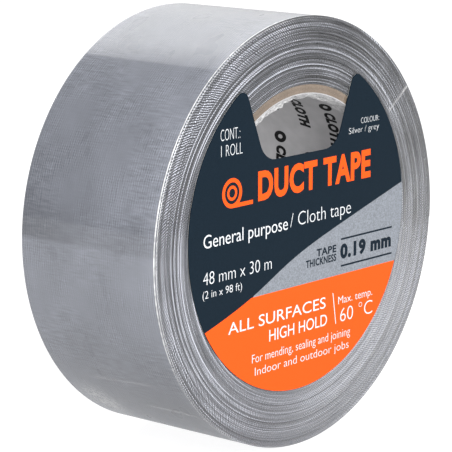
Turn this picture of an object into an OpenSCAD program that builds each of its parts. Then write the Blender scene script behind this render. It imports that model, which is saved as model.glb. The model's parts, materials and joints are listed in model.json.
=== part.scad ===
// Roll of duct tape on a card core, shrink wrapped, with a disc label on its front.
// The roll stands on its tread: its axis runs along Y, the label faces -Y, +Z is up.
// The origin is on the surface that the roll stands on, under the middle of its width.
// All sizes are millimetres, all angles are degrees.

/* [Tape] */
// Width of the tape
tape_w = 48; // [24:1:96]
// Length wound on the roll, in metres
tape_len_m = 30; // [10:1:50]
// Thickness of the polyethylene backing
backing_t = 0.07; // [0.05:0.01:0.12]
// Thickness of the cotton scrim
scrim_t = 0.04; // [0.03:0.01:0.08]
// Thickness of the adhesive
adhesive_t = 0.08; // [0.05:0.01:0.12]
// Air trapped between two turns
air_t = 0.005; // [0:0.001:0.02]

/* [Core] */
// Diameter of the bore, the standard three inch core
core_bore_d = 76.2; // [60:0.1:80]
// Thickness of the printed paper that lines the bore
liner_t = 0.3; // [0.2:0.05:0.5]
// Thickness of each kraft ply
ply_t = 0.75; // [0.5:0.05:1]
// How far each end of the core lies below the side of the tape
core_recess = 0.2; // [0:0.05:1]

/* [Tail] */
// Direction of the tape's cut end, seen from the front, counted from +X towards +Z
cut_angle = -4; // [-20:2:20]
// Arc of each of the three stretches of the tail that peels
tail_arc = 10; // [6:2:12]

/* [Shrink film] */
// Thickness of the film
film_t = 0.12; // [0.05:0.01:0.2]
// Slack between the film and the highest turn
film_slack = 0.05; // [0.03:0.01:0.2]
// Radius of the film's opening in front
film_front_r = 40; // [38.5:0.5:41]
// Radius of the film's opening at the back
film_back_r = 44; // [38.5:0.5:46]
// Arc that the film leaves open past each end of the tail
film_open_arc = 4; // [2:1:10]

/* [Label] */
// Radius of the label
label_r = 46; // [44:0.5:50]
// Thickness of the label card
label_t = 0.25; // [0.1:0.05:0.5]
// Thickness of the glue that holds the label to the film
glue_t = 0.05; // [0.03:0.01:0.1]
// Sideways shift of the label from the roll's axis
label_shift_x = -0.9; // [-2:0.1:2]
// Upward shift of the label from the roll's axis
label_shift_z = 2.8; // [0:0.1:4]
// Height of the notch's floor above the label's centre
notch_floor = 19.2; // [12:0.2:26]
// Half the width of the notch where its lower corners end
notch_half_w = 17.5; // [10:0.5:22]
// Radius of the notch's lower corners
notch_corner_r = 7; // [3:0.5:9]
// Lean of the notch's sides from upright
notch_lean = 21; // [5:1:30]
// Radius of the tips of the two ears
ear_r = 2.5; // [1:0.5:3]

/* [Hidden] */

// The core is the liner and three plies, each wound on the one before.
liner_r = core_bore_d / 2;
ply_inner_r = liner_r + liner_t;
ply_middle_r = ply_inner_r + ply_t;
ply_outer_r = ply_middle_r + ply_t;
core_r = ply_outer_r + ply_t;
core_len = tape_w - 2 * core_recess;

// The length on the roll gives its radius: the side face of the winding has the area
// of the strip seen edge on.
tape_t = adhesive_t + scrim_t + backing_t;
wound_area = 1000 * tape_len_m * (tape_t + air_t);
roll_r = sqrt(pow(core_r, 2) + wound_area / PI);

// The outermost turn is a spiral. Its stretches are counted from the cut end.
full_turn = 360;
facet_arc = 2;
cut_inner_r = roll_r - tape_t;
tip_end = tail_arc;
mid_end = 2 * tail_arc;
root_end = 3 * tail_arc;

// Heights of the layers' faces above the inner face of their turn
scrim_base = adhesive_t;
backing_base = adhesive_t + scrim_t;

film_inner_r = roll_r + film_slack;
film_outer_r = film_inner_r + film_t;
axis_z = film_outer_r;

half_w = tape_w / 2;
film_front_y = -half_w - film_t;
glue_front_y = film_front_y - glue_t;

fine = 180;
adhesive_colour = [0.72, 0.72, 0.70];
scrim_colour = [0.86, 0.86, 0.84];
backing_colour = [0.60, 0.61, 0.64];
kraft_colour = [0.66, 0.56, 0.46];
film_colour = [0.90, 0.93, 0.96, 0.35];

// Radius of the outermost turn's inner face, at an arc counted from the cut end.
function turn_r(arc) = cut_inner_r - tape_t * arc / full_turn;

// A point at a height above that inner face.
function turn_point(arc, height) =
    let (r = turn_r(arc) + height, a = cut_angle + arc)
    [r * cos(a), r * sin(a)];

// Lays a drawing in the side face's plane and thickens it from y0 back to y1.
module across(y0, y1) {
    translate([0, y1, axis_z])
        rotate([90, 0, 0])
            linear_extrude(height = y1 - y0)
                children();
}

// Drawing of a ring round the roll's axis.
module ring(inner_r, outer_r) {
    difference() {
        circle(r = outer_r, $fn = fine);
        circle(r = inner_r, $fn = fine);
    }
}

// A tube of the core, centred on the tape's width.
module tube(inner_r, outer_r) {
    across(-core_len / 2, core_len / 2) ring(inner_r, outer_r);
}

// One layer of the outermost turn, from one arc to another.
module turn_layer(arc0, arc1, base, thickness) {
    across(-half_w, half_w)
        polygon(concat(
            [for (arc = [arc0:facet_arc:arc1]) turn_point(arc, base + thickness)],
            [for (arc = [arc1:-facet_arc:arc0]) turn_point(arc, base)]
        ));
}

module adhesive_layer(arc0, arc1) {
    color(adhesive_colour) turn_layer(arc0, arc1, 0, adhesive_t);
}

module scrim_layer(arc0, arc1) {
    color(scrim_colour) turn_layer(arc0, arc1, scrim_base, scrim_t);
}

module backing_layer(arc0, arc1) {
    color(backing_colour) turn_layer(arc0, arc1, backing_base, backing_t);
}

module core_liner() {
    color([0.80, 0.80, 0.81]) tube(liner_r, ply_inner_r);
}

module core_ply_inner() {
    color(kraft_colour) tube(ply_inner_r, ply_middle_r);
}

module core_ply_middle() {
    color(kraft_colour) tube(ply_middle_r, ply_outer_r);
}

module core_ply_outer() {
    color(kraft_colour) tube(ply_outer_r, core_r);
}

// Every turn under the outermost one. Its outside steps up by one thickness of tape
// where the outermost turn begins.
module tape_winding() {
    color(backing_colour)
        across(-half_w, half_w)
            difference() {
                polygon([for (arc = [0:facet_arc:full_turn]) turn_point(arc, 0)]);
                circle(r = core_r, $fn = fine);
            }
}

module outer_turn_adhesive() { adhesive_layer(root_end, full_turn); }
module outer_turn_scrim() { scrim_layer(root_end, full_turn); }
module outer_turn_backing() { backing_layer(root_end, full_turn); }
module tail_root_adhesive() { adhesive_layer(mid_end, root_end); }
module tail_root_scrim() { scrim_layer(mid_end, root_end); }
module tail_root_backing() { backing_layer(mid_end, root_end); }
module tail_mid_adhesive() { adhesive_layer(tip_end, mid_end); }
module tail_mid_scrim() { scrim_layer(tip_end, mid_end); }
module tail_mid_backing() { backing_layer(tip_end, mid_end); }
module tail_tip_adhesive() { adhesive_layer(0, tip_end); }
module tail_tip_scrim() { scrim_layer(0, tip_end); }
module tail_tip_backing() { backing_layer(0, tip_end); }

// The film is one clear skin over both sides and the tread, and is open over the tail.
// Its three stretches meet face to face.
module film_front() {
    color(film_colour)
        across(film_front_y, -half_w) ring(film_front_r, film_outer_r);
}

module film_back() {
    color(film_colour)
        across(half_w, half_w + film_t) ring(film_back_r, film_outer_r);
}

module film_tread() {
    color(film_colour)
        across(-half_w, half_w)
            difference() {
                ring(film_inner_r, film_outer_r);
                film_gap();
            }
}

// Drawing of the wedge in which the tread is left bare.
module film_gap() {
    reach = 2 * film_outer_r;
    start = cut_angle - film_open_arc;
    end = cut_angle + root_end + film_open_arc;
    polygon([
        [0, 0],
        [reach * cos(start), reach * sin(start)],
        [reach * cos(end), reach * sin(end)]
    ]);
}

// Outline of the label about its own centre: a disc with a notch open at the top.
module label_outline() {
    translate([label_shift_x, label_shift_z])
        offset(r = ear_r, $fn = fine)
            offset(delta = -ear_r)
                difference() {
                    circle(r = label_r, $fn = fine);
                    notch_outline();
                }
}

// The notch has a flat floor, two round corners and sides that lean outwards.
module notch_outline() {
    corner_x = notch_half_w - notch_corner_r;
    corner_z = notch_floor + notch_corner_r;
    side_x = corner_x + notch_corner_r * cos(notch_lean);
    side_z = corner_z - notch_corner_r * sin(notch_lean);
    top_x = side_x + (label_r - side_z) * tan(notch_lean);
    polygon([
        [-corner_x, notch_floor], [corner_x, notch_floor], [side_x, side_z],
        [top_x, label_r], [-top_x, label_r], [-side_x, side_z]
    ]);
    for (side = [-1, 1])
        translate([side * corner_x, corner_z])
            circle(r = notch_corner_r, $fn = fine);
}

// The glue is only where the label lies on the film.
module label_glue() {
    color([0.93, 0.93, 0.88])
        across(glue_front_y, film_front_y)
            difference() {
                label_outline();
                circle(r = film_front_r, $fn = fine);
            }
}

module label_card() {
    color([0.15, 0.20, 0.24])
        across(glue_front_y - label_t, glue_front_y)
            label_outline();
}

core_liner();
core_ply_inner();
core_ply_middle();
core_ply_outer();
tape_winding();
outer_turn_adhesive();
outer_turn_scrim();
outer_turn_backing();
tail_root_adhesive();
tail_root_scrim();
tail_root_backing();
tail_mid_adhesive();
tail_mid_scrim();
tail_mid_backing();
tail_tip_adhesive();
tail_tip_scrim();
tail_tip_backing();
film_front();
film_tread();
film_back();
label_glue();
label_card();
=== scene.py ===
"""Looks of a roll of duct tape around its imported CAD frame.

Metres and radians, in the frame's own axes: the roll's axis runs along Y, the label faces -Y,
+Z is up. A direction round the roll is an angle from +X towards +Z, seen from the front.
"""
import json
import math

import bpy
import numpy as np
from mathutils import Matrix, Vector


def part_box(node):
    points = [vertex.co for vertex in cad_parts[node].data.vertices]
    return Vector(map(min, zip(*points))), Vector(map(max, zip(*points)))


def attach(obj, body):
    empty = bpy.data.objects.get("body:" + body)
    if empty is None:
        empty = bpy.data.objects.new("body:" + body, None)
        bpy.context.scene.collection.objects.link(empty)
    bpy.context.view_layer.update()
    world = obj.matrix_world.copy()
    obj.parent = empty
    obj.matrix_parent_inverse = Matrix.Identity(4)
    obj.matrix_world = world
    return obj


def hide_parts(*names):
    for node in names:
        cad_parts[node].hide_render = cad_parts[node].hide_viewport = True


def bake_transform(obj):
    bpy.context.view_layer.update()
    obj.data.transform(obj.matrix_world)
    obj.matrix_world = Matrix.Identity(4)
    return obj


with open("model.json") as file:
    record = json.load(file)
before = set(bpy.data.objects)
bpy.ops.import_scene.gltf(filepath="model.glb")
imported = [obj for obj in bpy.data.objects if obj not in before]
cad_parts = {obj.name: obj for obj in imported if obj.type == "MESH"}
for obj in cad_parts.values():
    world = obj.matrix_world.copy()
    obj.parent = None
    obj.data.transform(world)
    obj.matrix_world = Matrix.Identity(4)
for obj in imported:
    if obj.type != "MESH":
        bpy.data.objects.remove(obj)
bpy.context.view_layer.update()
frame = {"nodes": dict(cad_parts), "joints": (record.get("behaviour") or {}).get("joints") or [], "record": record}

MM = 0.001
DEG = math.radians(1)
TURN = 2 * math.pi
rng = np.random.default_rng(48)


# ---- sizes, from the frame

def node_size(node):
    low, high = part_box(node)
    return high - low


bore = next(m for m in frame["record"]["mounts"] if m["name"] == "core_bore")
joints = {j["name"]: j for j in frame["joints"]}
AXIS_Z = bore["pos_m"][2]
BORE_R = bore["dims"]["r_mm"] * MM
CORE_R = node_size("core_ply_outer").x / 2
CORE_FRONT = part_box("core_liner")[0].y
HALF_W = node_size("tape_winding").y / 2
FILM_R = node_size("film_back").x / 2
LABEL_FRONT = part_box("label_card")[0].y
LABEL_R = node_size("label_card").x / 2
LABEL_X = (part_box("label_card")[0].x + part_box("label_card")[1].x) / 2
LABEL_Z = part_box("label_card")[0].z + LABEL_R


def joint_polar(name):
    """Radius and angle of a hinge's pivot, seen from the front."""
    x, _, z = joints[name]["pos_m"]
    return math.hypot(x, z - AXIS_Z), math.atan2(z - AXIS_Z, x)


ROOT_A = joint_polar("tail_peel")[1]
MID_A = joint_polar("tail_curl_mid")[1]
TIP_A = joint_polar("tail_curl_tip")[1]
TAIL_ARC = ROOT_A - MID_A
CUT_A = TIP_A - TAIL_ARC
TAPE_T = 0.19 * MM
AIR_T = 0.005 * MM
PITCH = TAPE_T + AIR_T
ROLL_R = joint_polar("tail_peel")[0] + TAPE_T * (ROOT_A - CUT_A) / TURN
WEAVE = 0.75 * MM
# An edge that bends more than this is shaded as a corner
SHARP_ANGLE = 40 * DEG


# ---- helpers

def polar(radius, angle, y):
    """Points on the roll, from radii, angles and places along the axis."""
    radius, angle, y = np.broadcast_arrays(radius, angle, y)
    return np.stack([radius * np.cos(angle), y, AXIS_Z + radius * np.sin(angle)], axis=-1)


def smooth_noise(x, count, period=1.0):
    """Repeating smooth noise: a sum of a few random waves, about one in size."""
    total = np.zeros_like(x, dtype=float)
    for k in rng.integers(1, count + 1, size=count):
        total += rng.normal() * np.sin(TURN * k * x / period + rng.uniform(0, TURN))
    return total / math.sqrt(count / 2)


def bell(distance, half_width):
    """One at no distance, falling off smoothly to both sides."""
    return np.exp(-((distance / half_width) ** 2))


def turn_near(angle, centre):
    """Angle from a centre, from minus half a turn to half a turn."""
    return (angle - centre + math.pi) % TURN - math.pi


def lobe(angle, centre, half_width):
    """One at a direction in degrees, falling off smoothly to both sides of it."""
    return bell(turn_near(angle, centre * DEG), half_width * DEG)


def new_object(name, data):
    obj = bpy.data.objects.new(name, data)
    bpy.context.scene.collection.objects.link(obj)
    return obj


def make_object(name, points, faces, uvs=None, slots=None, smooth=True):
    """A mesh object. uvs is one pair per point, slots one material index per face."""
    mesh = bpy.data.meshes.new(name)
    mesh.from_pydata([tuple(p) for p in points], [], [tuple(f) for f in faces])
    if slots is not None:
        mesh.polygons.foreach_set("material_index", np.asarray(slots, dtype=np.int32))
    if uvs is not None:
        loops = np.empty(len(mesh.loops), dtype=np.int32)
        mesh.loops.foreach_get("vertex_index", loops)
        layer = mesh.uv_layers.new(name="along_across")
        layer.data.foreach_set("uv", np.asarray(uvs, dtype=np.float32)[loops].ravel())
    mesh.polygons.foreach_set("use_smooth", np.full(len(mesh.polygons), smooth))
    if smooth:
        mesh.set_sharp_from_angle(angle=SHARP_ANGLE)
    mesh.update()
    return new_object(name, mesh)


def store(obj, name, values):
    """Numbers at the mesh's points, for a material to read."""
    attribute = obj.data.attributes.new(name, "FLOAT", "POINT")
    attribute.data.foreach_set("value", np.asarray(values, dtype=np.float32).ravel())


def grid_faces(rows, columns, wrap_columns=False):
    """Quads of a grid whose points are stored row by row."""
    starts = np.arange(columns if wrap_columns else columns - 1)
    i, j = np.meshgrid(np.arange(rows - 1), starts, indexing="ij")
    i, j = i.ravel(), j.ravel()
    i2, j2 = i + 1, (j + 1) % columns
    return np.stack([i * columns + j, i * columns + j2, i2 * columns + j2, i2 * columns + j], 1)


def closed_faces(faces, count):
    """Faces of a solid from a sheet's, which has so many points: sheet, back and rim."""
    faces = [tuple(face) for face in faces]
    edges = {(a, b): None for face in faces for a, b in zip(face, face[1:] + face[:1])}
    back = [tuple(i + count for i in reversed(face)) for face in faces]
    rim = [(b, a, a + count, b + count) for a, b in edges if (b, a) not in edges]
    return faces + back + rim


def paint(obj, *materials):
    """Materials of an object, in the order in which its faces count them."""
    for material in materials:
        obj.data.materials.append(material)


def show_node(node_name, material):
    """A CAD node that stays on show gets a finished material."""
    node = frame["nodes"][node_name]
    node.data.materials.clear()
    paint(node, material)


def place(obj, body, slot, *nodes):
    """The piece rides on a body and stands for CAD nodes. Its slot is not used."""
    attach(obj, body)
    if nodes:
        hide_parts(*nodes)


# ---- materials

class Shader:
    """A node material with one Principled shader, and short ways to add nodes to it."""

    def __init__(self, name, color, roughness=0.5, **inputs):
        self.material = bpy.data.materials.new(name)
        self.material.use_nodes = True
        self.material.diffuse_color = (*color, 1)
        self.tree = self.material.node_tree
        self.bsdf = self.tree.nodes["Principled BSDF"]
        self.output = self.tree.nodes["Material Output"]
        self.set("Base Color", (*color, 1))
        self.set("Roughness", roughness)
        for key, value in inputs.items():
            self.set(key.replace("_", " "), value)

    def set(self, key, value):
        """A number, a colour or another node's output into an input of the Principled shader."""
        self.feed(self.bsdf.inputs[key], value)

    def feed(self, socket, value):
        """The same for any input of any node."""
        if isinstance(value, bpy.types.NodeSocket):
            self.tree.links.new(value, socket)
        else:
            socket.default_value = value

    def node(self, kind, *values, **settings):
        """A node, with its inputs filled in order. None leaves an input as it is."""
        made = self.tree.nodes.new("ShaderNode" + kind)
        for key, value in settings.items():
            setattr(made, key, value)
        for socket, value in zip(made.inputs, values):
            if value is not None:
                self.feed(socket, value)
        return made

    def math(self, operation, *values):
        return self.node("Math", *values, operation=operation).outputs[0]

    def product(self, first, *others):
        """All the values multiplied together."""
        for other in others:
            first = self.math("MULTIPLY", first, other)
        return first

    def centred(self, value):
        """Noise from 0 to 1 moved to lie about nothing."""
        return self.math("SUBTRACT", value, 0.5)

    def noise(self, vector, scale, detail=2.0, roughness=0.5):
        made = self.node("TexNoise")
        self.feed(made.inputs["Vector"], vector)
        made.inputs["Scale"].default_value = scale
        made.inputs["Detail"].default_value = detail
        made.inputs["Roughness"].default_value = roughness
        return made.outputs[0]

    def stretch(self, vector, scale):
        """Coordinates scaled along each axis."""
        made = self.node("Mapping", vector)
        made.inputs["Scale"].default_value = scale
        return made.outputs[0]

    def ramp(self, value, *stops):
        """Colours at places from 0 to 1: each stop is (place, colour)."""
        made = self.node("ValToRGB", value)
        elements = made.color_ramp.elements
        for element, (position, color) in zip(elements, (stops[0], stops[-1])):
            element.position = position
            element.color = (*color, 1)
        for position, color in stops[1:-1]:
            elements.new(position).color = (*color, 1)
        return made.outputs[0]

    def remap(self, value, low, high, to_low, to_high):
        """A range of values stretched to another range, and held at its ends."""
        return self.node("MapRange", value, low, high, to_low, to_high).outputs[0]

    def mix(self, amount, a, b, blend="MIX"):
        """Two colours mixed, or blended in another way."""
        made = self.node("Mix", data_type="RGBA", blend_type=blend)
        self.feed(made.inputs["Factor"], amount)
        self.feed(made.inputs["A"], a)
        self.feed(made.inputs["B"], b)
        return made.outputs["Result"]

    def position(self):
        return self.node("NewGeometry").outputs["Position"]

    def uv(self):
        return self.node("UVMap", uv_map="along_across").outputs[0]

    def attribute(self, name):
        """A number stored at the mesh's points."""
        return self.node("Attribute", attribute_name=name).outputs["Fac"]

    def relief(self, height, distance, strength=1.0):
        """A normal bent by a height."""
        made = self.node("Bump")
        made.inputs["Strength"].default_value = strength
        made.inputs["Distance"].default_value = distance
        self.feed(made.inputs["Height"], height)
        return made.outputs[0]

    def bump(self, *settings):
        self.set("Normal", self.relief(*settings))

    def axis(self, vector, index):
        """One coordinate of a vector."""
        return self.node("SeparateXYZ", vector).outputs[index]


def grey(value, tint=(1.0, 1.0, 1.0)):
    """A grey, or a tint of it."""
    return tuple(value * t for t in tint)


COOL = (0.965, 0.995, 1.11)
PALE = (1.0, 0.985, 1.01)
BACKING_GREY = grey(0.215, (0.95, 1.0, 1.15))
# How far the woven threads stray from straight, in radians of their spacing
THREAD_WOBBLE = 8.0
# How strongly the threads across the tape and along it show
THREAD_SHARES = (0.5, 1.5)
# Lowest and highest of the weave's raised threads, as weave_height gives them
WEAVE_RANGE = (-2.0, 2.0)


def weave_height(shader, uv):
    """Raised threads of the scrim under the backing, the lengthwise ones showing most."""
    wobble = shader.noise(shader.stretch(uv, (0.5, 1.0, 1.0)), 550.0)
    patches = shader.remap(shader.noise(uv, 75.0, detail=1.0), 0.35, 0.7, 0.1, 1.0)
    breaks = shader.noise(shader.stretch(uv, (420.0, 900.0, 1.0)), 1.0)
    patches = shader.product(patches, shader.remap(breaks, 0.38, 0.6, 0.15, 1.4))
    waves = []
    for axis, share in enumerate(THREAD_SHARES):
        place_in_weave = shader.product(shader.axis(uv, axis), TURN / WEAVE)
        shifted = shader.math("MULTIPLY_ADD", wobble, THREAD_WOBBLE, place_in_weave)
        waves.append(shader.product(shader.math("SINE", shifted), share))
    return shader.product(shader.math("ADD", *waves), patches)


def backing_material():
    """Silver polyethylene: satin, with the weave showing through and cloudy streaks, a painted sheen near both
    edges and painted shade round and across the tread.
    """
    s = Shader("silver_backing", BACKING_GREY, 0.3, Metallic=0.05,
               Coat_Roughness=0.07, Coat_IOR=2.1)
    s.set("Specular IOR Level", 0.06)
    uv = s.uv()
    height = weave_height(s, uv)
    clouds = s.noise(s.stretch(uv, (60.0, 90.0, 1.0)), 1.0)
    cloudy = s.remap(clouds, 0.3, 0.7, 0.9, 1.1)
    threads = s.remap(height, *WEAVE_RANGE, 0.7, 1.3)
    across = s.math("ABSOLUTE", s.axis(uv, 1))
    # Painted sheen: the backing is lighter near both edges of the tread
    edge_sheen = s.remap(across, HALF_W - 6 * MM, HALF_W - 1 * MM, 1.0, 1.12)
    streaks = s.noise(s.stretch(uv, (1500.0, 210.0, 1.0)), 1.0)
    streaky = s.remap(s.noise(uv, 38.0, detail=1.0), 0.42, 0.6, 0.1, 0.75)
    scuffs = s.math("MULTIPLY_ADD", s.centred(streaks), streaky, 1.0)
    # The stored shade is painted shade and light round and across the tread
    tone = s.product(cloudy, threads, edge_sheen, scuffs, s.attribute("shade"))
    tone_grey = s.node("CombineColor", tone, tone, tone).outputs[0]
    s.set("Base Color", s.mix(1.0, tone_grey, (*BACKING_GREY, 1), "MULTIPLY"))
    s.set("Roughness", s.remap(clouds, 0.3, 0.7, 0.26, 0.34))
    # The coat is weaker towards the bottom of the tread: painted shade of its reflection
    s.set("Coat Weight", s.product(s.attribute("tight"), 0.4))
    s.bump(height, 0.00002, 0.12)
    return s.material


def adhesive_material():
    """Tacky off-white adhesive with the cotton mesh lying in it."""
    s = Shader("adhesive_and_scrim", grey(0.55), 0.35)
    uv = s.uv()
    height = weave_height(s, uv)
    s.set("Base Color", s.ramp(s.remap(height, *WEAVE_RANGE, 0.0, 1.0),
                               (0.35, (0.40, 0.40, 0.37)), (0.75, (0.72, 0.71, 0.67))))
    s.bump(height, 0.00004)
    return s.material


def turn_edge_material():
    """Cut edges of the turns: dark adhesive and backing with pale ends of cotton threads."""
    s = Shader("turn_edges", grey(0.3), 0.42)
    along = s.axis(s.uv(), 0)
    turn = s.attribute("turn")

    def lane_noise(along_scale, turn_scale, detail, roughness=0.5):
        """Streaks along the strip: neighbouring turns are alike where turn_scale is small."""
        place_at = s.node("CombineXYZ", s.product(along, along_scale), s.product(turn, turn_scale))
        return s.noise(place_at.outputs[0], 1.0, detail=detail, roughness=roughness)

    streaks = lane_noise(22.0, 7.31, 4.0, 0.6)
    groups = lane_noise(12.0, 0.8, 3.0)
    jitter = s.noise(s.position(), 520.0, detail=3.0)
    phase = s.math("MULTIPLY_ADD", jitter, 11.0, s.product(s.attribute("thread"), TURN))
    marks = s.product(s.math("SINE", phase), s.remap(streaks, 0.3, 0.7, 0.2, 1.6))
    patches = s.remap(s.noise(s.position(), 55.0, detail=1.0), 0.35, 0.65, 0.5, 1.5)
    strength = s.product(patches, s.attribute("hatch"))
    lines = s.math("MULTIPLY_ADD", s.centred(streaks), 0.75, s.product(s.centred(groups), 0.45))
    relief = s.product(s.math("MULTIPLY_ADD", marks, strength, lines), s.attribute("contrast"))
    # The stored tone carries painted light and shade that change round the roll
    level = s.math("ADD", s.math("ADD", relief, 0.71), s.attribute("tone"))
    s.set("Base Color", s.ramp(level, (0.60, grey(0.025, COOL)), (0.80, grey(0.17, COOL)),
                               (1.0, grey(0.75, COOL))))
    s.bump(level, 0.00003, 0.5)
    return s.material


def kraft_material(name, shade):
    """Brown kraft board: fibres that run round the core, and blotches."""
    s = Shader(name, grey(shade, (0.43, 0.32, 0.22)), 0.85)
    position = s.position()
    fibres = s.noise(s.stretch(position, (2200.0, 500.0, 2200.0)), 1.0, detail=5.0)
    blotches = s.noise(position, 160.0, detail=3.0)
    tone = s.math("ADD", s.product(fibres, 0.7), s.product(blotches, 0.4))
    s.set("Base Color", s.ramp(tone, (0.35, grey(shade, (0.138, 0.105, 0.079))),
                               (0.75, grey(shade, (0.242, 0.190, 0.146)))))
    s.bump(fibres, 0.00005, 0.6)
    return s.material


def liner_material():
    """Smooth grey paper of the core's wall, a little mottled."""
    s = Shader("liner_paper", grey(0.33), 0.55)
    position = s.position()
    mottle = s.noise(position, 260.0, detail=4.0)
    fine = s.noise(position, 3000.0)
    s.set("Base Color", s.ramp(mottle, (0.3, grey(0.39, PALE)), (0.7, grey(0.455, PALE))))
    s.bump(fine, 0.00002, 0.4)
    return s.material


def ink_material(name, color, roughness=0.5, grain=0.06):
    """Printing ink on coated card: an even colour with faint grain."""
    s = Shader(name, color, roughness)
    s.set("Specular IOR Level", 0.05)
    speck = s.noise(s.position(), 5000.0)
    dark = tuple(c * (1 - grain) for c in color)
    light = tuple(min(1.0, c * (1 + grain)) for c in color)
    s.set("Base Color", s.ramp(speck, (0.35, dark), (0.65, light)))
    return s.material


def label_material():
    """Card of the label: navy ink in front and over its cut edge, bare grey paper behind."""
    s = Shader("label_card_navy", (0.0065, 0.014, 0.023), 0.5)
    s.set("Specular IOR Level", 0.05)
    front = s.math("LESS_THAN", s.axis(s.node("NewGeometry").outputs["True Normal"], 1), 0.7)
    fibres = s.noise(s.position(), 1800.0, detail=4.0)
    paper = s.ramp(fibres, (0.3, grey(0.48)), (0.7, grey(0.58)))
    grain = s.noise(s.position(), 4000.0)
    navy = s.ramp(grain, (0.35, (0.0055, 0.0125, 0.020)), (0.65, (0.0075, 0.016, 0.026)))
    s.set("Base Color", s.mix(front, paper, navy))
    return s.material


def silver_ink_material():
    """Metallic silver ink with a fine sparkle."""
    tint = (0.92, 1.0, 1.13)
    s = Shader("ink_silver", grey(0.27, tint), 0.45, Metallic=0.2)
    speck = s.noise(s.position(), 2600.0, detail=3.0, roughness=0.75)
    s.set("Base Color", s.ramp(speck, (0.36, grey(0.175, tint)), (0.64, grey(0.31, tint))))
    return s.material


FILM_TINT = (0.9, 0.93, 0.96)
# Shares of gloss: seen square on, added at a slant, added where milky or painted with a highlight
FILM_GLOSS = 0.03
GRAZING_GLOSS = 0.15
GATHERED_GLOSS = 0.12


def film_material():
    """Outside of the clear film: glossier at a slant, and milky where it bunches; on the front rim
    and at the end of the front crease the milk is partly a painted highlight.

    Where it lies close on the tread, its gloss is the coat of the backing under it.
    """
    s = Shader("clear_film", FILM_TINT, 0.1)
    # Milk of bunched film, and on the front rim and the crease's end a painted highlight
    gathered = s.attribute("gathered")
    clear = s.node("BsdfTransparent", (0.99, 0.99, 0.99, 1)).outputs[0]
    glossy = s.node("BsdfGlossy", (1, 1, 1, 1), 0.06)
    facing = s.node("LayerWeight", 0.5)
    away = s.math("POWER", facing.outputs["Facing"], 5.0)
    share = s.math("MULTIPLY_ADD", away, GRAZING_GLOSS, FILM_GLOSS)
    share = s.math("MULTIPLY_ADD", gathered, GATHERED_GLOSS, share)
    share = s.product(share, s.attribute("loose"))
    skin = s.node("MixShader", share, clear, glossy.outputs[0]).outputs[0]
    milk = s.node("BsdfTranslucent", (0.9, 0.9, 0.9, 1)).outputs[0]
    white = s.node("BsdfDiffuse", (0.9, 0.9, 0.9, 1)).outputs[0]
    milky = s.node("MixShader", 0.75, milk, white).outputs[0]
    folds = s.noise(s.position(), 700.0, detail=3.0, roughness=0.6)
    haze = s.math("MINIMUM", s.product(gathered, s.remap(folds, 0.35, 0.65, 0.6, 1.4)), 1.0)
    s.feed(s.output.inputs[0], s.node("MixShader", haze, skin, milky).outputs[0])
    ripples = s.noise(s.position(), 120.0)
    ridge = s.math("ABSOLUTE", s.centred(s.noise(s.position(), 210.0)))
    ridge = s.remap(ridge, 0.0, 0.012, 1.0, 0.0)
    here = s.remap(s.noise(s.position(), 60.0, detail=1.0), 0.5, 0.62, 0.0, 0.35)
    normal = s.relief(s.math("MULTIPLY_ADD", ridge, here, ripples), 0.0002, 0.25)
    for made in (glossy, facing):
        s.feed(made.inputs["Normal"], normal)
    return s.material


def film_inside_material():
    """Inside of the film's thickness, where the gloss isn't counted a second time."""
    s = Shader("film_inside", FILM_TINT, 0.1)
    s.feed(s.output.inputs[0], s.node("BsdfTransparent", (0.99, 0.99, 0.99, 1)).outputs[0])
    return s.material


def cotton_material():
    """Bare cotton thread, with the twist of its fibres."""
    s = Shader("cotton_thread", grey(0.75), 0.85)
    fibres = s.noise(s.position(), 9000.0)
    s.set("Base Color", s.ramp(fibres, (0.35, (0.60, 0.60, 0.57)), (0.65, (0.86, 0.86, 0.83))))
    s.bump(fibres, 0.00002, 0.6)
    return s.material


def glue_material():
    """Clear glue seen along the label's edge, with small bubbles."""
    s = Shader("label_glue", (0.70, 0.70, 0.65), 0.25)
    bubbles = s.noise(s.position(), 2500.0)
    s.set("Base Color", s.ramp(bubbles, (0.4, (0.52, 0.52, 0.48)), (0.6, (0.74, 0.74, 0.69))))
    s.set("Roughness", s.remap(bubbles, 0.35, 0.65, 0.15, 0.4))
    return s.material


THREADS = cotton_material()
BACKING = backing_material()
ADHESIVE = adhesive_material()
EDGES = turn_edge_material()


# ---- the wound strip

# Turns that stick out in front: (radius, how far)
PROUD_TURNS = (
    (46.2 * MM, 0.05 * MM),
    (50.5 * MM, 0.10 * MM),
    (52.2 * MM, 0.07 * MM),
    (53.3 * MM, 0.07 * MM),
    (56.6 * MM, 0.04 * MM),
)
# Least room between the turns of the strip
STRIP_GAP = 0.02 * MM
STEPS_PER_TURN = 150
# Grid of the outermost turn's stretches
STRIP_ROWS = 25
FEWEST_COLUMNS = 12
COLUMN_ARC = 1.0 * DEG
# How ragged the cut end is
CUT_RAGGED = 0.25 * MM
TURNS = (ROLL_R - 2 * TAPE_T - CORE_R) / PITCH
# How far the strip's edge strays sideways, from turn to turn and along a turn
EDGE_STRAY = 0.022 * MM
EDGE_WAVER = 0.015 * MM
# Directions, seen from the front: where the painted light on the sides of the turns is brightest, where the
# proud turns' painted highlights and the thread ends show most, where the lines are strongest, about
# which the tread's painted shade tilts, and where its painted dark band ends
LIT_SIDE = -75 * DEG
PROUD_SIDE = 165 * DEG
HATCH_SIDE = 12 * DEG
STRONG_LINES_SIDE = 120 * DEG
TILT_SIDE = 157 * DEG
BAND_FOOT = 178.5 * DEG
# Painted highlights and shade on the turns' sides: (direction, half width, change)
SIDE_SHADES = (
    (12, 20, -0.08),
    (58, 22, -0.09),
    (95, 22, -0.035),
    (130, 22, -0.025),
    (163, 11, -0.13),
    (250, 28, -0.04),
    (335, 24, 0.025),
)
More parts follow.
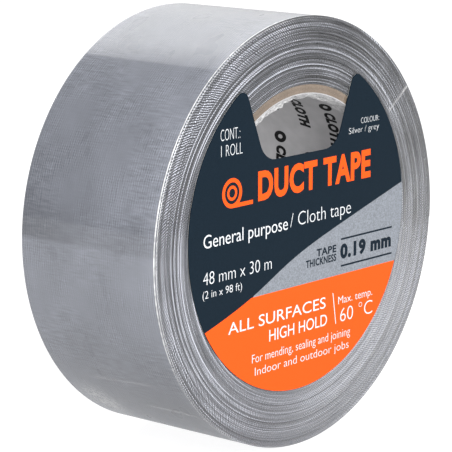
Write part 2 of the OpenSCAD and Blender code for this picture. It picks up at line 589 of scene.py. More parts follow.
# The same painted light and shade for the outer turns alone, and one change of tone for all of the inner turns
OUTER_SHADES = (
    (50, 30, 0.025),
    (160, 12, -0.03),
    (198, 12, 0.03),
)
INNER_SHADE = 0.022
# Lines on the sides of the turns: (change of shade, number of them), and their length, in turns
TURN_LINES = ((0.10, 32), (-0.08, 22))
LINE_TURNS = (0.5, 1.6)
LINE_RAMP = 0.06
# Where the outer turns begin and the inner ones end, and the width of the change
OUTER_TURNS_R = 53.6 * MM
INNER_TURNS_R = 50.6 * MM
BAND_BLUR = 0.6 * MM
THREADS_PER_TURN = 430
THREAD_R = 0.06 * MM
# The threads at the cut end: how far they stick out, how deep they start and how far under the
# middle of the tape they lie
LONGEST_THREAD = 1.6 * MM
USUAL_THREAD = 0.45 * MM
SHORTEST_THREAD = 0.1 * MM
THREAD_HIDDEN = 0.8 * MM
THREAD_DROP = 0.005 * MM
# Shift of the thread ends from one turn to the next, in threads
THREAD_SLANT = 0.2


def outer_r(arc):
    """Radius of the strip's outer face, an arc in from its cut end, in radians."""
    return ROLL_R - np.where(arc < TURN, TAPE_T * arc, PITCH * (arc - TURN) + TAPE_T * TURN) / TURN


def among_outer(radius):
    """One for the outer turns, falling to nothing for the others."""
    return np.clip((radius - OUTER_TURNS_R) / BAND_BLUR, 0, 1)


def side_shade(angle, radius):
    """Painted light and shade on the sides of the turns at each direction, and a lighter tone of the inner turns.
    """
    # Painted light: lightest at one direction and darkest opposite it, with painted highlights and shade from the
    # tables
    shade = 0.07 * np.cos(angle - LIT_SIDE) + 0.02
    for centre, half_width, change in SIDE_SHADES:
        shade += change * lobe(angle, centre, half_width)
    for centre, half_width, change in OUTER_SHADES:
        shade += change * among_outer(radius) * lobe(angle, centre, half_width)
    return shade + INNER_SHADE * np.clip((INNER_TURNS_R - radius) / BAND_BLUR, 0, 1)


def edge_contrast(angle):
    """How strongly the lines on the sides of the turns show at each direction."""
    return 0.85 + 0.5 * np.cos(angle - STRONG_LINES_SIDE)


def side_hatch(angle, outer):
    """How strongly the thread ends show, more in the outer turns on the left."""
    on_right = np.maximum(0.0, np.cos(angle - HATCH_SIDE)) ** 2
    return 0.09 + 0.16 * outer * np.maximum(0.0, np.cos(angle - PROUD_SIDE)) + 0.13 * on_right


def tread_look(angle, y):
    """Painted shade of the backing round and across the tread, and how much of its coat is left, less towards the
    bottom as a painted shade of the reflection.
    """
    back = np.clip(y / HALF_W, 0, 1)
    # Painted light and shade: lighter in front and darker behind at some directions, the other way at others
    tilt = 0.11 * np.cos(2 * (angle - TILT_SIDE)) * -y / HALF_W
    # A painted dark band just above the step near 178 degrees, darker behind
    above_step = np.clip((BAND_FOOT - angle) / (1.2 * DEG), 0, 1)
    band = (0.2 + 0.16 * back) * above_step * lobe(angle, 178, 8)
    # More painted shade behind near 163 degrees, and towards the bottom near 228 degrees
    shade = 1 + tilt - band - 0.16 * back * lobe(angle, 163, 13) - 0.38 * lobe(angle, 228, 27)
    # Less coat towards the bottom: painted shade of the reflection there
    return shade, 1 - lobe(angle, 246, 16)


def edge_wander(turn, radius):
    """How far the strip's edges are from their place along the axis, turn by turn."""
    whole = np.floor(turn).astype(int)
    per_turn = rng.normal(0, EDGE_STRAY, whole.max() + 2)
    share = turn - whole
    wander = per_turn[whole] * (1 - share) + per_turn[whole + 1] * share
    wander += EDGE_WAVER * smooth_noise(turn, 300, TURNS)
    for proud_r, height in PROUD_TURNS:
        wander -= height * bell(radius - proud_r, 0.15 * MM)
    return wander


def edge_lines(turn, radius, left):
    """Lighter and darker lines on the turns' sides, strongest at the proud turns: painted highlight and shade."""
    lines = np.zeros_like(turn)
    for change, count in TURN_LINES:
        for _ in range(count):
            begin, extent = rng.uniform(0, TURNS), rng.uniform(*LINE_TURNS)
            ramp_up = np.clip((turn - begin) / LINE_RAMP, 0, 1)
            ramp_down = np.clip((begin + extent - turn) / LINE_RAMP, 0, 1)
            lines += change * rng.uniform(0.4, 1.2) * ramp_up * ramp_down
    # Painted highlight on each proud turn and painted shade just inside it, stronger on the left
    for proud_r, height in PROUD_TURNS:
        height = height / MM * (0.3 + 0.7 * left)
        lines += 3.5 * height * bell(radius - proud_r, 0.13 * MM)
        lines -= 1.6 * height * bell(radius - proud_r + 0.4 * MM, 0.2 * MM)
    return lines


def build_winding():
    """All the turns under the outermost one, as one spiral strip with wandering edges."""
    count = int(TURNS * STEPS_PER_TURN)
    arc = TURN * (1 + np.arange(count + 1) / STEPS_PER_TURN)
    radius = outer_r(arc)
    turn = (arc - TURN) / TURN
    whole = np.floor(turn).astype(int)
    wander = edge_wander(turn, radius)
    length = np.cumsum(np.full(count + 1, TURN / STEPS_PER_TURN) * radius)
    angle = CUT_A + arc
    inner = radius - TAPE_T + STRIP_GAP
    corners = [(radius, -HALF_W), (radius, HALF_W), (inner, HALF_W), (inner, -HALF_W)]
    points = np.stack([polar(r, angle, y + wander) for r, y in corners], axis=1).reshape(-1, 3)
    across = np.array([-HALF_W, HALF_W, HALF_W + TAPE_T, -HALF_W - TAPE_T])
    uvs = np.stack([np.repeat(length, 4), np.tile(across, count + 1)], axis=1)
    faces = grid_faces(count + 1, 4, wrap_columns=True)
    caps = np.array([[3, 2, 1, 0], [4 * count, 4 * count + 1, 4 * count + 2, 4 * count + 3]])
    slots = np.concatenate([np.tile([0, 1, 2, 1], count), [1, 1]])
    obj = make_object("tape_winding_strip", points, np.concatenate([faces, caps]), uvs, slots,
                      smooth=False)
    contrast = edge_contrast(angle)
    left = np.maximum(0.0, np.cos(angle - PROUD_SIDE))
    outer = among_outer(radius)
    lines = edge_lines(turn, radius, left)
    looks = {
        # The outer turns are darker on the left: painted shade
        "tone": side_shade(angle, radius) + lines * contrast - 0.055 * outer * left**2,
        "turn": whole,
        "thread": THREADS_PER_TURN * arc / TURN + THREAD_SLANT * whole,
        "hatch": side_hatch(angle, outer),
        "contrast": contrast,
    }
    for key, values in looks.items():
        store(obj, key, np.repeat(values, 4))
    shade, tight = tread_look(np.repeat(angle, 4), np.tile(across, count + 1))
    store(obj, "shade", shade)
    store(obj, "tight", tight)
    paint(obj, BACKING, EDGES, ADHESIVE)
    place(obj, "roll", "wound_tape", "tape_winding")


def loose_threads():
    """Cotton threads that stick out of the cut end: points, and faces counted from zero."""
    draw = np.random.default_rng(7)
    corners = ((1, 0), (0, 1), (-1, 0), (0, -1))
    steps = 6
    centre = ROLL_R - TAPE_T / 2 - THREAD_DROP
    points, faces = [], []
    for y0 in np.arange(-HALF_W + WEAVE, HALF_W - WEAVE / 2, WEAVE):
        reach = min(LONGEST_THREAD, draw.exponential(USUAL_THREAD))
        drift = draw.normal(0, 0.25)
        along = np.linspace(-THREAD_HIDDEN, SHORTEST_THREAD + reach, steps)
        out = np.maximum(along, 0)
        sideways = y0 + drift * out**2 / MM
        thin = THREAD_R * (1 - 0.4 * out / (LONGEST_THREAD + SHORTEST_THREAD))
        base = len(points) * len(corners)
        for ahead, y, r in zip(along, sideways, thin):
            angle = CUT_A - ahead / ROLL_R
            points.append([polar(centre + r * dr, angle, y + r * dy) for dr, dy in corners])
        tube = grid_faces(steps, len(corners), wrap_columns=True)
        faces += [tuple(base + i for i in face) for face in tube]
        last = base + len(corners) * (steps - 1)
        faces += [(base + 3, base + 2, base + 1, base), (last, last + 1, last + 2, last + 3)]
    return np.array(points).reshape(-1, 3), faces


def build_strip(name, arc0, arc1, frayed=False):
    """A stretch of the outermost turn, from one arc to another in from the cut end."""
    columns = max(FEWEST_COLUMNS, int((arc1 - arc0) / COLUMN_ARC))
    rows = STRIP_ROWS
    arc = np.linspace(arc0, arc1, columns + 1)
    y = np.linspace(-HALF_W, HALF_W, rows)
    grid_arc, grid_y = np.meshgrid(arc, y, indexing="ij")
    radius = outer_r(grid_arc)
    angle = CUT_A + grid_arc
    if frayed:
        ragged = CUT_RAGGED * smooth_noise(grid_y / HALF_W, 9, 2.0) / ROLL_R
        angle = angle - ragged * (1 - (grid_arc - arc0) / (arc1 - arc0)) ** 2
    outside = polar(radius, angle, grid_y)
    inside = polar(radius - TAPE_T + STRIP_GAP / 2, angle, grid_y)
    points = np.concatenate([outside.reshape(-1, 3), inside.reshape(-1, 3)])
    uv = np.stack([(grid_arc * ROLL_R).ravel(), grid_y.ravel()], axis=1)
    sheet = grid_faces(columns + 1, rows)
    faces = closed_faces(sheet, (columns + 1) * rows)
    slots = np.full(len(faces), 2)
    slots[:len(sheet)] = 0
    slots[len(sheet):2 * len(sheet)] = 1
    uvs = np.concatenate([uv, uv])
    extra = 0
    if frayed:
        thread_points, thread_faces = loose_threads()
        extra = len(thread_points)
        faces += [tuple(i + len(points) for i in f) for f in thread_faces]
        slots = np.concatenate([slots, np.full(len(thread_faces), 3)])
        points = np.concatenate([points, thread_points])
        uvs = np.concatenate([uvs, np.zeros((extra, 2))])
    obj = make_object(name, points, faces, uvs, slots)
    shade, tight = tread_look(angle, grid_y)
    looks = {
        "tone": side_shade(angle, radius),
        "turn": np.zeros_like(angle),
        "hatch": side_hatch(angle, 1.0),
        "contrast": edge_contrast(angle),
        "thread": grid_arc / TURN * THREADS_PER_TURN,
        "shade": shade,
        "tight": tight,
    }
    for key, values in looks.items():
        store(obj, key, np.concatenate([np.tile(values.ravel(), 2), np.zeros(extra)]))
    paint(obj, BACKING, ADHESIVE, EDGES, THREADS)
    return obj


def layer_nodes(stretch):
    return [f"{stretch}_{layer}" for layer in ("adhesive", "scrim", "backing")]


def pivot(name):
    return joints[name]["pos_m"]


build_winding()
place(build_strip("outer_turn_tape", ROOT_A - CUT_A, TURN), "roll", "backing",
      *layer_nodes("outer_turn"))

cut_point = tuple(polar(ROLL_R, CUT_A, 0.0))
# Stretches of the free end: (name, body before, body after, place from the cut end, start, end)
TAIL = (
    ("tail_root", "roll", "tail_root", 2, pivot("tail_peel"), pivot("tail_curl_mid")),
    ("tail_mid", "tail_root", "tail_mid", 1, pivot("tail_curl_mid"), pivot("tail_curl_tip")),
    ("tail_tip", "tail_mid", "tail_tip", 0, pivot("tail_curl_tip"), cut_point),
)
for stretch, before, after, step, start, end in TAIL:
    arc_start = step * TAIL_ARC
    piece = build_strip(stretch + "_tape", arc_start, arc_start + TAIL_ARC, frayed=step == 0)
    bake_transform(piece)
    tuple(start)
    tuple(end)
    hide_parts(*layer_nodes(stretch))


# ---- core

PLY_SHADES = (("core_ply_inner", 1.0), ("core_ply_middle", 0.93), ("core_ply_outer", 1.04))
for ply, ply_shade in PLY_SHADES:
    show_node(ply, kraft_material("kraft_" + ply, ply_shade))
show_node("core_liner", liner_material())
show_node("label_glue", glue_material())


# ---- print

def flat_text(words, weight=0.0, slant=0.0):
    """Points (x, up) and triangles of a line of text whose capitals are 1 high."""
    def build(body):
        data = bpy.data.curves.new("words", "FONT")
        data.body = body
        data.offset = weight
        data.space_character = 1 + 2 * max(0.0, weight)
        data.shear = slant
        data.resolution_u = 4
        obj = new_object("words", data)
        bpy.context.view_layer.update()
        mesh = obj.evaluated_get(bpy.context.evaluated_depsgraph_get()).to_mesh()
        points = np.array([v.co[:2] for v in mesh.vertices])
        faces = [tuple(p.vertices) for p in mesh.polygons]
        bpy.data.objects.remove(obj)
        bpy.data.curves.remove(data)
        return points, faces
    capital, _ = build("H")
    points, faces = build(words)
    points[:, 0] -= points[:, 0].min()
    points[:, 1] -= capital[:, 1].min()
    return points / np.ptp(capital[:, 1]), faces


def thick_sheet(name, top, bottom, faces):
    """A closed solid from a flat drawing's faces, with its points given on both sides."""
    points = np.concatenate([top, bottom])
    return make_object(name, points, closed_faces(faces, len(top)), smooth=False)


INK_T = 0.012 * MM


def on_label(points, level):
    """Flat points, in metres from the roll's axis, on the label: level counts ink layers."""
    y = np.full(len(points), LABEL_FRONT - level * INK_T)
    return np.stack([points[:, 0], y, points[:, 1] + AXIS_Z], axis=1)


def print_shape(name, points, faces, material, level=1):
    """One printed shape. Its back sinks a little into what it is printed on."""
    points = np.asarray(points, dtype=float)
    obj = thick_sheet(name, on_label(points, level), on_label(points, level - 1.5), faces)
    paint(obj, material)
    place(obj, "roll", "label_card")


def print_words(name, words, left, right, base, cap, material, weight=0.0, level=2):
    """A line of text from left to right, with its capitals' feet at base. Millimetres."""
    points, faces = flat_text(words, weight)
    width = np.ptp(points[:, 0])
    x = left * MM + points[:, 0] / width * (right - left) * MM
    up = base * MM + points[:, 1] * cap * MM
    print_shape(name, np.stack([x, up], axis=1), faces, material, level)


def print_bar(name, x0, x1, z0, z1, material, level=2):
    corners = np.array([(x0, z0), (x1, z0), (x1, z1), (x0, z1)]) * MM
    print_shape(name, corners, [(0, 1, 2, 3)], material, level)


# Lower edge of the navy area: an even slope with a steeper step in its middle
SWOOSH_HEIGHT = -6.7 * MM
SWOOSH_SLOPE = 0.282
SWOOSH_STEP = 2.35 * MM
SWOOSH_MIDDLE = -13 * MM
SWOOSH_REACH = 12.5 * MM


def swoosh(x):
    """Height of the navy area's lower edge at x."""
    step = SWOOSH_STEP * np.tanh((x - SWOOSH_MIDDLE) / SWOOSH_REACH)
    return SWOOSH_HEIGHT + SWOOSH_SLOPE * x + step


PANEL_R = LABEL_R - 0.05 * MM
PANEL_MIDDLE = LABEL_Z - AXIS_Z
SILVER_FOOT = -14.2 * MM
SILVER_LEFT = -22.0 * MM
# A panel ends where it is thinner than this
PANEL_THIN = 1e-6


def label_reach(x):
    """How far the printed area goes up and down from its middle at x."""
    return np.sqrt(np.maximum(0.0, PANEL_R**2 - (x - LABEL_X) ** 2))


def print_panel(name, x, low, high, material):
    """A panel between two edges, drawn as columns of quads."""
    points = np.concatenate([np.stack([x, low], 1), np.stack([x, high], 1)])
    n = len(x)
    faces = [(i, i + 1, n + i + 1, n + i) for i in range(n - 1)]
    print_shape(name, points, faces, material)


def build_panels(silver, orange):
    """The silver and orange areas under the navy one."""
    x = LABEL_X + PANEL_R * np.cos(np.linspace(math.pi, 0.0, 161))
    rim_low, rim_high = PANEL_MIDDLE - label_reach(x), PANEL_MIDDLE + label_reach(x)
    low = np.maximum(SILVER_FOOT, rim_low)
    high = np.minimum(swoosh(x), rim_high)
    keep = (high > low + PANEL_THIN) & (x > SILVER_LEFT)
    print_panel("label_panel_silver", x[keep], low[keep], high[keep], silver)
    high = np.minimum(swoosh(x), SILVER_FOOT)
    keep = high > rim_low + PANEL_THIN
    print_panel("label_panel_orange", x[keep], rim_low[keep], high[keep], orange)


WHITE = ink_material("ink_white", (0.68, 0.70, 0.72))
ORANGE = ink_material("ink_orange", (0.88, 0.096, 0.011))
NAVY = ink_material("ink_navy", (0.007, 0.014, 0.023))
SILVER = silver_ink_material()
show_node("label_card", label_material())
build_panels(SILVER, ORANGE)

# Words on the label: (name, words, left, right, foot, capital height, ink, weight), in mm
LABEL_WORDS = (
    ("contents_1", "CONT.:", -34.2, -26.4, 29.6, 2.9, WHITE, -0.02),
    ("contents_2", "1 ROLL", -34.0, -25.4, 25.4, 2.9, WHITE, -0.02),
    ("colour_1", "COLOUR:", 25.4, 33.7, 27.3, 1.5, WHITE, -0.02),
    ("colour_2", "Silver / grey", 20.0, 33.7, 24.9, 1.6, WHITE, -0.02),
    ("title", "DUCT TAPE", -19.0, 30.0, 11.6, 8.0, ORANGE, 0.04),
    ("kind_1", "General purpose", -41.0, -6.5, 2.1, 3.5, WHITE, -0.004),
    ("kind_2", "/ Cloth tape", -5.4, 21.2, 2.6, 3.6, WHITE, -0.015),
    ("measure", "48 mm x 30 m", -41.2, -13.3, -7.6, 3.3, WHITE, -0.015),
    ("measure_small", "(2 in x 98 ft)", -41.4, -25.6, -11.2, 2.0, WHITE, -0.012),
    ("thickness_1", "TAPE", 6.0, 14.8, -7.5, 2.1, NAVY, 0.03),
    ("thickness_2", "THICKNESS", 1.4, 14.8, -10.0, 2.1, NAVY, 0.03),
    ("thickness_3", "0.19 mm", 16.6, 40.0, -9.9, 4.2, NAVY, 0.055),
    ("strength_1", "ALL SURFACES", -31.2, 10.2, -22.6, 3.1, WHITE, 0.0),
    ("strength_2", "HIGH HOLD", -14.2, 10.9, -27.6, 3.2, WHITE, 0.0),
    ("heat_1", "Max. temp.", 15.9, 31.5, -22.6, 2.1, WHITE, -0.008),
    ("heat_2", "60 °C", 16.8, 31.6, -27.8, 3.8, WHITE, -0.014),
    ("use_1", "For mending, sealing and joining", -21.4, 21.4, -32.3, 2.3, WHITE, -0.01),
    ("use_2", "Indoor and outdoor jobs", -20.2, 20.8, -35.9, 2.2, WHITE, -0.012),
)
for label, words, left, right, foot, cap, ink, weight in LABEL_WORDS:
    print_words("label_print_" + label, words, left, right, foot, cap, ink, weight)
# Lines over and under the tape's thickness: (name, left, right, lower edge, upper edge), in mm
LABEL_LINES = (
    ("upper", 16.9, 40.4, -4.5, -4.0),
    ("lower", 16.9, 40.4, -12.1, -11.6),
)
for label, left, right, low, high in LABEL_LINES:
    print_bar("label_print_line_" + label, left, right, low, high, NAVY)


# The picture of a roll, in mm: centre and radius, length and thickness of its loose end
ICON_PLACE = (-29.6, 15.3, 4.0)
ICON_END = 8.4
ICON_END_T = 1.1


def ring_drawing(x0, z0, inner, outer, count):
    """Points, from sizes in mm, and quads of a flat ring."""
    ring = [(x0 + r * math.cos(TURN * k / count), z0 + r * math.sin(TURN * k / count))
            for r in (inner, outer) for k in range(count)]
    following = [(k + 1) % count for k in range(count)]
    quads = [(k, k + count, following[k] + count, following[k]) for k in range(count)]
    return np.array(ring) * MM, quads


def build_ring_icon():
    """A plain picture of a roll with a loose end, in orange."""
    x0, z0, rim_r = ICON_PLACE
    for part, inner, outer in (("rim", 2.9, rim_r), ("core", 1.2, 2.0)):
        ring, faces = ring_drawing(x0, z0, inner, outer, 48)
        print_shape("label_print_icon_" + part, ring, faces, ORANGE, 2)
    foot = z0 - rim_r
    print_bar("label_print_icon_end", x0, x0 + ICON_END, foot, foot + ICON_END_T, ORANGE, 3)


build_ring_icon()
DIVIDER = np.array([(13.3, -19.0), (13.6, -19.0), (15.0, -28.0), (14.7, -28.0)]) * MM
print_shape("label_print_divider", DIVIDER, [(3, 2, 1, 0)], WHITE, 2)


# The wall's print: slope of its rows, length of a word, height of its capitals, spacing of the
# rows along the axis and their shift round the wall, and repeats of the word in a row
LINER_SLOPE = math.tan(16.5 * DEG)
LINER_WORD = 15 * MM
LINER_CAP = 3.7 * MM
LINER_ROW = 10.2 * MM
LINER_SHIFT = 6.6 * MM
LINER_REPEATS = 8
# A word's place, round the wall from the top and along the axis
LINER_START = (20.0 * MM, -3.5 * MM)
# Bare edge of the paper, in front and at the back
LINER_BARE = (3 * MM, 1.5 * MM)


def build_liner_print():
    """Black print on the core's wall, in rows that climb round it as the paper was wound."""
    words, word_faces = flat_text("CLOTH", 0.075, slant=0.3)
    words = words * LINER_CAP
    words[:, 0] *= LINER_WORD / np.ptp(words[:, 0])
    icon, icon_faces = ring_drawing(-3.4, 1.85, 0.8, 2.2, 24)
    unit = np.concatenate([words, icon])
    unit_faces = list(word_faces) + [tuple(i + len(words) for i in f) for f in icon_faces]
    round_wall = TURN * BORE_R
    start_x, start_y = LINER_START
    bare_front, bare_back = LINER_BARE
    flat, faces = [], []
    for row in range(-6, 7):
        for step in range(LINER_REPEATS):
            start = start_x + step / LINER_REPEATS * round_wall - LINER_SHIFT * row
            start = (start + round_wall / 2) % round_wall - round_wall / 2
            y = start_y + LINER_ROW * row + LINER_SLOPE * (start - start_x)
            back = y + LINER_SLOPE * unit[:, 0] - unit[:, 1]
            if back.min() < -HALF_W + bare_front or back.max() > HALF_W - bare_back:
                continue
            faces += [tuple(i + len(flat) * len(unit) for i in f) for f in unit_faces]
            flat.append(np.stack([start + unit[:, 0], back], 1))
    flat = np.concatenate(flat)
    angle = math.pi / 2 - flat[:, 0] / BORE_R
    top = polar(BORE_R - 0.015 * MM, angle, flat[:, 1])
    bottom = polar(BORE_R + 0.06 * MM, angle, flat[:, 1])
    obj = thick_sheet("liner_print", top, bottom, faces)
    paint(obj, ink_material("ink_black", (0.002, 0.002, 0.0025), 0.45))
    place(obj, "roll", "liner_paper")


build_liner_print()


# ---- shrink film

FILM_T = 0.03 * MM
FACE_GAP = 0.03 * MM
RIM_FILLET = 0.6 * MM
FILM_OPEN = 4 * DEG
FILM_COLUMNS = 720
# Rows of the lip, the front, one rim, the tread and the back
LIP_ROWS, FACE_ROWS, RIM_ROWS, TREAD_ROWS, BACK_ROWS = 10, 70, 6, 60, 40
CRUMPLES = 9
# Width of the film's band on the back
BACK_BAND = 15.4 * MM
# Directions where the lip curls in most and where the rim's painted highlight is brightest
CURL_SIDE = 118 * DEG
RIM_HIGHLIGHT_SIDE = 148 * DEG
# How the folds and the window's edges wander across the tread
FOLD_DRIFT = 0.9 * DEG
FOLD_WAVE = 9 * MM
WINDOW_DRIFT = 1.1 * DEG
WINDOW_REACH = 7 * DEG
# A milky patch of the tread: direction, place across, and its half sizes round and across
PATCH = (232 * DEG, 16 * MM, 9 * MM, 7 * MM)
# Folds that stand up out of the film: (direction, height, half width)
CREASES = (
    (37.0 * DEG, 0.20 * MM, 0.35 * MM),
    (228.0 * DEG, 0.12 * MM, 0.55 * MM),
    (217.5 * DEG, 0.06 * MM, 0.40 * MM),
)
# Milky lines along folds of the tread: (direction, from, to, share of haze)
TREAD_FOLDS = (
    (228.0 * DEG, -23 * MM, -2 * MM, 0.16),
    (217.5 * DEG, -14 * MM, 12 * MM, 0.11),
    (37.0 * DEG, -24 * MM, 6 * MM, 0.3),
)


def front_y(r, angle, crumple):
    """Place along the axis of the film's front at a radius: sunk on the core, creased outside."""
    face_front = -HALF_W - FACE_GAP
    on_core = 1 / (1 + math.exp((r - CORE_R) / (0.12 * MM)))
    y = face_front + (CORE_FRONT - face_front - FACE_GAP) * on_core
    for proud_r, height in PROUD_TURNS:
        y = y - 0.25 * height * bell(r - proud_r, 0.15 * MM)
    outer = max(0.0, (r - 46.5 * MM) / (12 * MM))
    for crease, height, width in CREASES:
        off = turn_near(angle, crease) * r
        y = y - 1.2 * height * min(1.0, outer * 1.6) * bell(off, width)
    return y - 0.012 * MM * crumple * min(1.0, outer)


def film_rows(turn, angle):
    """Rows of the film from the lip to the back, each as (zone, radius, place along the axis)."""
    crumple = [smooth_noise(turn, 60) for _ in range(CRUMPLES)]
    curl = (0.5 + 0.5 * np.cos(2 * (angle - CURL_SIDE))) ** 2
    lip_depth = np.clip(4.2 - 2.2 * curl + 0.4 * smooth_noise(turn, 70), 1.2, 6.0) * MM
    lip_reach = np.clip(0.55 + 1.7 * curl + 0.2 * smooth_noise(turn, 50), 0.2, 3.0) * MM
    for k, share in enumerate(np.linspace(1.0, 0.1, LIP_ROWS)):
        here, beside = crumple[k % CRUMPLES], crumple[(k + 1) % CRUMPLES]
        lift = np.maximum(lip_reach * share + 0.12 * MM * (1 + here), 0.08 * MM)
        yield "lip", BORE_R - lift, CORE_FRONT + lip_depth * share + 0.15 * MM * beside
    face_r = ROLL_R - RIM_FILLET
    near_proud = [proud_r + k * 0.12 * MM for proud_r, _ in PROUD_TURNS for k in range(-2, 3)]
    for r in sorted([*np.linspace(BORE_R + 0.15 * MM, face_r, FACE_ROWS), *near_proud]):
        yield "face", r, front_y(r, angle, crumple[-1])
    bends = np.linspace(0.12, 0.92, RIM_ROWS) * math.pi / 2
    rim = [(RIM_FILLET * (1 - math.sin(b)), RIM_FILLET * (1 - math.cos(b))) for b in bends]
    for inward, back in rim:
        yield "rim", ROLL_R + FACE_GAP - inward, -(HALF_W + FACE_GAP - back)
    for y in np.linspace(-HALF_W + RIM_FILLET, HALF_W - RIM_FILLET, TREAD_ROWS):
        yield "tread", ROLL_R + FACE_GAP, y
    for inward, back in reversed(rim):
        yield "rim", ROLL_R + FACE_GAP - inward, HALF_W + FACE_GAP - back
    ragged = (0.5 * smooth_noise(turn, 12) + 0.2 * smooth_noise(turn, 50)) * MM
    for share in np.linspace(0.0, 1.0, BACK_ROWS):
        radius = face_r + (FILM_R - BACK_BAND + ragged - face_r) * share
        yield "face", radius, HALF_W + FACE_GAP + 0.02 * MM * crumple[3] * share


def film_haze(zone, radius, y, angle):
    """How milky a row of the film is at each direction; on the front rim and the front crease partly a painted
    highlight.
    """
    haze = np.zeros_like(angle)
    if zone == "lip":
        haze += 0.45
    if zone == "rim" and y < 0:
        # Milky all round the front rim, and whiter towards the upper left: a painted highlight
        haze += 0.15 + 0.78 * np.clip(1.8 * np.cos(angle - RIM_HIGHLIGHT_SIDE) - 0.7, 0, 1)
    if zone == "tread":
        for crease, y0, y1, milk in TREAD_FOLDS:
            off = turn_near(angle, crease + FOLD_DRIFT * math.sin(y / FOLD_WAVE)) * ROLL_R
            ends = min(1.0, max(0.0, min(y - y0, y1 - y) / (4 * MM)))
            haze += milk * ends * bell(off, 0.6 * MM)
        patch_angle, patch_y, half_round, half_across = PATCH
        off_patch = np.hypot(turn_near(angle, patch_angle) * ROLL_R / half_round,
                             (y - patch_y) / half_across)
        haze += 0.35 * np.clip(1.3 - off_patch, 0, 1)
    # The front crease is milky as folded film, whitest at its rim end: a painted glint there
    if y < 0 and zone in ("face", "rim"):
        on_crease = bell(turn_near(angle, CREASES[0][0]) * ROLL_R, 0.4 * MM)
        share = np.clip((radius - 48.5 * MM) / (11 * MM), 0, 1)
        haze = np.maximum(haze, on_crease * (0.3 + 0.7 * share**6) * (share > 0))
    return haze


def build_film():
    """One clear skin: lip in the core, front, rim, tread, rim and back, open over the free end."""
    angle = TURN * np.arange(FILM_COLUMNS) / FILM_COLUMNS
    turn = angle / TURN
    zones, radii, ys = zip(*film_rows(turn, angle))
    radius = np.array([r + np.zeros(FILM_COLUMNS) for r in radii])
    y = np.array([row + np.zeros(FILM_COLUMNS) for row in ys])
    rows = len(zones)
    row_y = y.mean(axis=1)
    grid_angle = np.tile(angle, (rows, 1))
    ripple = smooth_noise(turn, 40)
    start, end = (CUT_A - FILM_OPEN) % TURN, ROOT_A + FILM_OPEN
    for i, zone in enumerate(zones):
        if zone in ("tread", "rim"):
            drift = FOLD_DRIFT * ROLL_R * math.sin(row_y[i] / FOLD_WAVE)
            for crease, height, width in CREASES:
                radius[i] += height * bell(turn_near(angle, crease) * ROLL_R - drift, width)
            edge = min(1.0, (HALF_W - abs(row_y[i])) / (6 * MM))
            radius[i] += 0.01 * MM * ripple * (1 - edge)
        if zone == "tread":
            share = row_y[i] / HALF_W
            for edge_angle in (start, end):
                off = turn_near(grid_angle[i], edge_angle)
                wave = math.sin(5.0 * share) + 0.5 * math.sin(13.0 * share + edge_angle)
                near = np.clip(1 - np.abs(off) / WINDOW_REACH, 0, 1)
                grid_angle[i] += WINDOW_DRIFT * wave * near
    faces = grid_faces(rows, FILM_COLUMNS, wrap_columns=True)
    row_of, column_of = faces[:, 0] // FILM_COLUMNS, faces[:, 0] % FILM_COLUMNS
    from_start = turn_near((angle[column_of] + TURN / FILM_COLUMNS / 2) % TURN, start)
    in_window = (from_start > 0) & (from_start < (end - start) % TURN)
    outside = np.array([zone in ("tread", "rim") for zone in zones])
    keep = ~(in_window & (outside[row_of] | outside[row_of + 1]))
    obj = make_object("shrink_film", polar(radius, grid_angle, y).reshape(-1, 3), faces[keep])
    haze = [film_haze(*row, angle) for row in zip(zones, radius, row_y)]
    store(obj, "gathered", np.array(haze))
    store(obj, "loose", np.repeat([zone != "tread" for zone in zones], FILM_COLUMNS))
    paint(obj, film_material(), film_inside_material())
    solid = obj.modifiers.new("thickness", "SOLIDIFY")
    solid.thickness = FILM_T
    solid.offset = 0
    solid.material_offset = 1
    place(obj, "roll", "clear_film", "film_front", "film_tread", "film_back")


build_film()


# ---- stage, lights, camera

def stage_plane(name, centre, facing, width, height, color, strength, rise=0.0, fade=None):
    """A flat stage piece that shines: more by rise for each metre up, less between two heights."""
    corners = [(-width / 2, -height / 2, 0), (width / 2, -height / 2, 0),
               (width / 2, height / 2, 0), (-width / 2, height / 2, 0)]
    obj = make_object(name, corners, [(0, 1, 2, 3)], smooth=False)
    turn = Vector(facing).to_track_quat("Z", "Y")
    obj.matrix_world = Matrix.Translation(centre) @ turn.to_matrix().to_4x4()
    s = Shader(name, color, 0.9)
    s.set("Specular IOR Level", 0.0)
    s.set("Emission Color", (1, 1, 1, 1))
    height_above = s.axis(s.position(), 2)
    shine = s.math("MULTIPLY_ADD", height_above, rise, strength)
    if fade:
        shine = s.math("MULTIPLY", shine, s.remap(height_above, *fade, 1.0, 0.0))
    s.set("Emission Strength", shine)
    paint(obj, s.material)


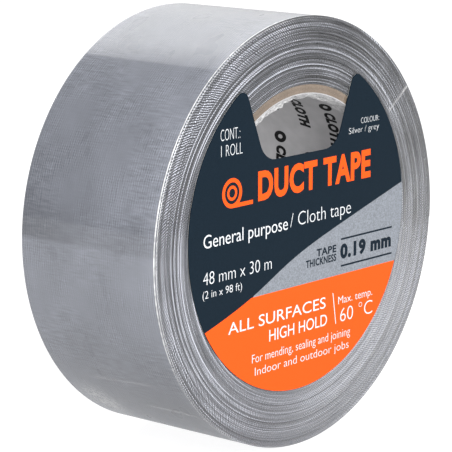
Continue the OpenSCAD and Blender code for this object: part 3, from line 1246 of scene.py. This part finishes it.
def area_light(name, place_at, target, size, power):
    """A soft light that isn't mirrored in the gloss of the roll, where it would burn out."""
    data = bpy.data.lights.new(name, "AREA")
    data.shape = "RECTANGLE"
    data.size, data.size_y = size
    data.energy = power
    obj = new_object(name, data)
    obj.location = place_at
    obj.visible_glossy = False
    obj.rotation_mode = "QUATERNION"
    obj.rotation_quaternion = (Vector(target) - Vector(place_at)).to_track_quat("-Z", "Y")


CENTRE = Vector((0, 0, AXIS_Z))
stage_plane("floor", (0, 0, 0), (0, 0, 1), 12, 12, grey(0.25), 0.92)
# The bright upper part of the tread mirrors it.
stage_plane("backdrop", (1.36, 1.45, 1.6), (-0.65, -0.76, 0), 2.6, 3.2, grey(0.3), 0.5,
            rise=1.5, fade=(2.0, 3.1))
area_light("key_light", CENTRE + Vector((-0.54, -0.89, 0.60)), CENTRE, (0.35, 0.8), 20)

world = bpy.data.worlds.new("studio")
bpy.context.scene.world = world
world.use_nodes = True
background = world.node_tree.nodes["Background"]
background.inputs["Color"].default_value = (1, 1, 1, 1)
background.inputs["Strength"].default_value = 0.32
bpy.context.scene.view_settings.view_transform = "Standard"
bpy.context.scene.view_settings.look = "None"

# The camera looks at the roll from the left and a little above, through a long lens.
CAMERA_AZIMUTH = -49.3 * DEG
CAMERA_ELEVATION = 11.3 * DEG
CAMERA_DISTANCE = 0.6642
CAMERA_RIGHT = -2.4 * MM
CAMERA_UP = -1.1 * MM
back = Vector((math.sin(CAMERA_AZIMUTH) * math.cos(CAMERA_ELEVATION),
               -math.cos(CAMERA_AZIMUTH) * math.cos(CAMERA_ELEVATION),
               math.sin(CAMERA_ELEVATION)))
right = Vector((math.cos(CAMERA_AZIMUTH), math.sin(CAMERA_AZIMUTH), 0))
up = back.cross(right)
camera_data = bpy.data.cameras.new("camera")
camera_data.lens = 189.9
camera_data.sensor_width = 36
camera = new_object("camera", camera_data)
camera.location = CENTRE + back * CAMERA_DISTANCE + right * CAMERA_RIGHT + up * CAMERA_UP
camera.rotation_mode = "QUATERNION"
camera.rotation_quaternion = Matrix((right, up, back)).transposed().to_quaternion()
bpy.context.scene.camera = camera
